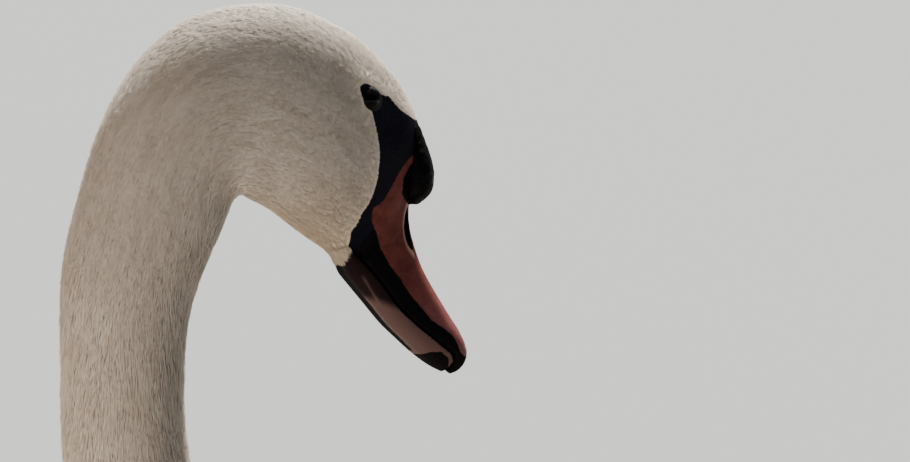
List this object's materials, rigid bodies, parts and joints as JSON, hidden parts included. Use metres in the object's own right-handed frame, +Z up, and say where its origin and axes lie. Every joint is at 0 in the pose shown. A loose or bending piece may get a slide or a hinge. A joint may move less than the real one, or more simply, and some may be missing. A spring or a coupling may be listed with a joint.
{
  "type": "mute swan",
  "caption": "Still life-size mute swan resting on its belly with folded wings, an upright curved neck and its bill lowered.",
  "frame": {"origin": "on the floor, below the middle of the bird's bounding box, in its plane of symmetry", "axes": "+X towards the bill, +Y towards the bird's left side, +Z up"},
  "size_m": [0.7993, 0.358, 0.6913],
  "materials": {
    "plumage": "matte white feathers with a warm cream cast",
    "horn_orange": "satin orange-pink horn",
    "horn_black": "satin black horn with a pinkish grey underside",
    "knob_black": "bare black skin with a soft shine",
    "eye_brown": "wet dark brown eye",
    "foot_black": "dull black scaled skin"
  },
  "bodies": {
    "root": {"bill_lower": "horn_black", "bill_nail": "horn_black", "bill_upper": "horn_orange", "eye_left": "eye_brown", "eye_right": "eye_brown", "head": "plumage", "knob": "knob_black", "leg_left": "foot_black", "leg_right": "foot_black", "neck_lower": "plumage", "neck_middle": "plumage", "neck_upper": "plumage", "tail": "plumage", "trunk": "plumage", "wing_left": "plumage", "wing_right": "plumage"}
  },
  "joints": []
}
